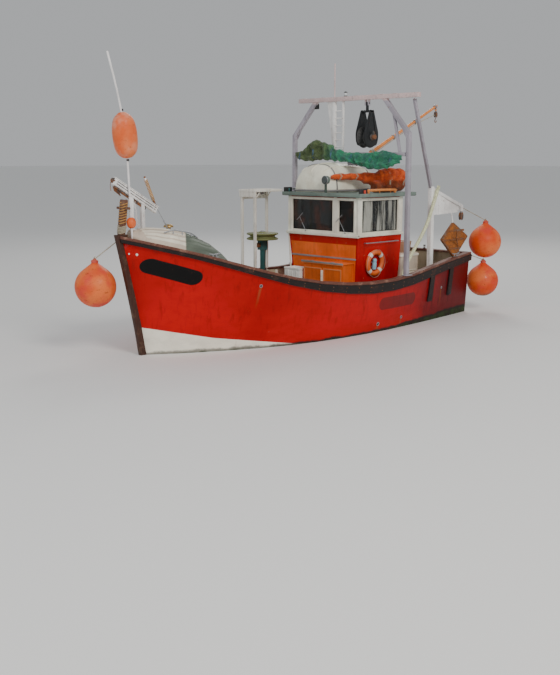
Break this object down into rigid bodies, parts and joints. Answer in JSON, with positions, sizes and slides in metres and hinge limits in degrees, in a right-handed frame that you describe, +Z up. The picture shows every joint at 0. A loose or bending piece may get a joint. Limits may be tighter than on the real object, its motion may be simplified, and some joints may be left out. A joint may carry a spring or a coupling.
{
  "type": "fishing trawler",
  "caption": "Inshore fishing boat with a red hull, wheelhouse, goal-post gantry, hauler, gallows with trawl doors, landing boom, rudder and propeller.",
  "frame": {"origin": "on the centreline amidships, at the waterline", "axes": "+X to the bow, +Y to port, +Z up"},
  "size_m": [11.29, 3.9827, 7.32],
  "materials": {
    "hull_red": "gloss marine paint over planking, weathered",
    "stem_brown": "oiled oak, scuffed",
    "antifoul": "matt antifouling",
    "bronze": "cast bronze, dull",
    "rail_brown": "painted timber, worn",
    "strake_dark": "tarred hardwood, scuffed",
    "cream_paint": "satin deck paint, stained",
    "post_brown": "worn hardwood",
    "pale_steel": "satin paint, rust at the edges",
    "pole_white": "weathered",
    "float_orange": "faded foam skin",
    "grey_paint": "deck paint",
    "teal_paint": "deck paint, scuffed",
    "olive_paint": "oily paint",
    "rusty_steel": "rust and grease",
    "canopy_cream": "chalky paint, stained",
    "house_red": "gloss paint, weathered",
    "front_orange": "gloss paint, faded",
    "roof_grey_green": "chalky deck paint",
    "window_glass": "clear with salt film",
    "console_brown": "varnished ply, worn",
    "bright_steel": "polished by use",
    "seat_brown": "cracked vinyl",
    "bin_white": "scratched",
    "buoy_orange": "faded with reflective bands",
    "dinghy_cream": "chalky moulding",
    "net_orange": "knotted twine",
    "gantry_lilac": "satin paint, rust runs",
    "block_black": "oily paint",
    "block_rubber": "worn rubber",
    "galvanised": "galvanised, dull",
    "boom_orange": "satin paint, rubbed",
    "net_green": "knotted twine",
    "door_rust": "rusty plate and old paint",
    "fender_orange": "faded vinyl",
    "spar_green": "weathered paint",
    "basket_tan": "woven strip, worn"
  },
  "bodies": {
    "boat": {"hull": "hull_red", "stem_post": "stem_brown", "keel": "antifoul", "capping_rail": "rail_brown", "rubbing_strake": "strake_dark", "foredeck": "cream_paint", "samson_post": "post_brown", "bow_davit": "pale_steel", "dan_pole": "pole_white", "dan_float": "float_orange", "hatch_coaming": "grey_paint", "winch_frame": "olive_paint", "hauler_post": "teal_paint", "hauler_canopy": "canopy_cream", "wheelhouse_port": "house_red", "wheelhouse_starboard": "house_red", "wheelhouse_front": "front_orange", "wheelhouse_back": "house_red", "wheelhouse_roof": "roof_grey_green", "glass_front": "window_glass", "glass_port": "window_glass", "glass_starboard": "window_glass", "glass_back": "window_glass", "helm_console": "console_brown", "skipper_seat": "seat_brown", "front_locker": "front_orange", "fish_bin": "bin_white", "lifebuoy": "buoy_orange", "upturned_dinghy": "dinghy_cream", "net_roll": "net_orange", "roof_lamp": "roof_grey_green", "gantry_leg_port": "gantry_lilac", "gantry_leg_starboard": "gantry_lilac", "gantry_beam": "gantry_lilac", "gantry_cross_beam": "gantry_lilac", "mast_ladder": "pale_steel", "gantry_strut": "gantry_lilac", "hung_net": "net_green", "gallows_port": "pale_steel", "gallows_starboard": "pale_steel", "trawl_door_port": "door_rust", "trawl_door_starboard": "door_rust", "fender_quarter_high": "fender_orange", "fender_quarter_low": "fender_orange", "fender_bow": "fender_orange", "leaning_spar": "spar_green", "engine_casing": "cream_paint", "fish_basket": "basket_tan"},
    "propeller": {"propeller": "bronze"},
    "rudder": {"rudder": "antifoul"},
    "helm": {"helm_wheel": "bright_steel"},
    "winch_drums": {"winch_drums": "rusty_steel"},
    "hauler_disc": {"hauler_disc": "olive_paint"},
    "hatch_lid": {"hatch_lid": "teal_paint"},
    "aft_door": {"aft_door": "house_red"},
    "block_frame": {"power_block_frame": "block_black"},
    "block_sheave": {"power_block_sheave": "block_rubber"},
    "gooseneck": {"gooseneck": "galvanised"},
    "boom": {"landing_boom": "boom_orange"}
  },
  "joints": [
    {"name": "propeller_spin", "type": "hinge", "parent": "boat", "child": "propeller", "pos_m": [-4.01, 0, -0.76], "axis": [1, 0, 0], "continuous": true},
    {"name": "rudder_turn", "type": "hinge", "parent": "boat", "child": "rudder", "pos_m": [-4.37, 0, -0.4], "axis": [0, 0, 1], "range_deg": [-35, 35]},
    {"name": "helm_turn", "type": "hinge", "parent": "boat", "child": "helm", "pos_m": [-1.18, 0, 1.7], "axis": [1, 0, 0], "range_deg": [-540, 540]},
    {"name": "winch_spin", "type": "hinge", "parent": "boat", "child": "winch_drums", "pos_m": [1.25, 0, 0.86], "axis": [0, 1, 0], "continuous": true},
    {"name": "hauler_spin", "type": "hinge", "parent": "boat", "child": "hauler_disc", "pos_m": [-0.19, -1.52, 2.005], "axis": [0, 0, 1], "continuous": true},
    {"name": "hatch_open", "type": "hinge", "parent": "boat", "child": "hatch_lid", "pos_m": [2.04, 0, 1.041], "axis": [0, -1, 0], "range_deg": [0, 105]},
    {"name": "door_open", "type": "hinge", "parent": "boat", "child": "aft_door", "pos_m": [-2.32, -0.252, 1.7], "axis": [0, 0, -1], "range_deg": [0, 105]},
    {"name": "block_swing", "type": "hinge", "parent": "boat", "child": "block_frame", "pos_m": [-1.6, 0.56, 5.16], "axis": [0, 1, 0], "range_deg": [-20, 20]},
    {"name": "sheave_spin", "type": "hinge", "parent": "block_frame", "child": "block_sheave", "pos_m": [-1.6, 0.56, 4.39], "axis": [0, 1, 0], "continuous": true},
    {"name": "boom_slew", "type": "hinge", "parent": "boat", "child": "gooseneck", "pos_m": [-1.9, 0, 3.84], "axis": [0, 0, 1], "range_deg": [-45, 45]},
    {"name": "boom_topping", "type": "hinge", "parent": "gooseneck", "child": "boom", "pos_m": [-1.995, 0, 3.84], "axis": [0, 1, 0], "range_deg": [-20, 20]}
  ],
  "couplings": [
    {"joint": "helm_turn", "follows": "rudder_turn", "ratio": 15.4}
  ]
}
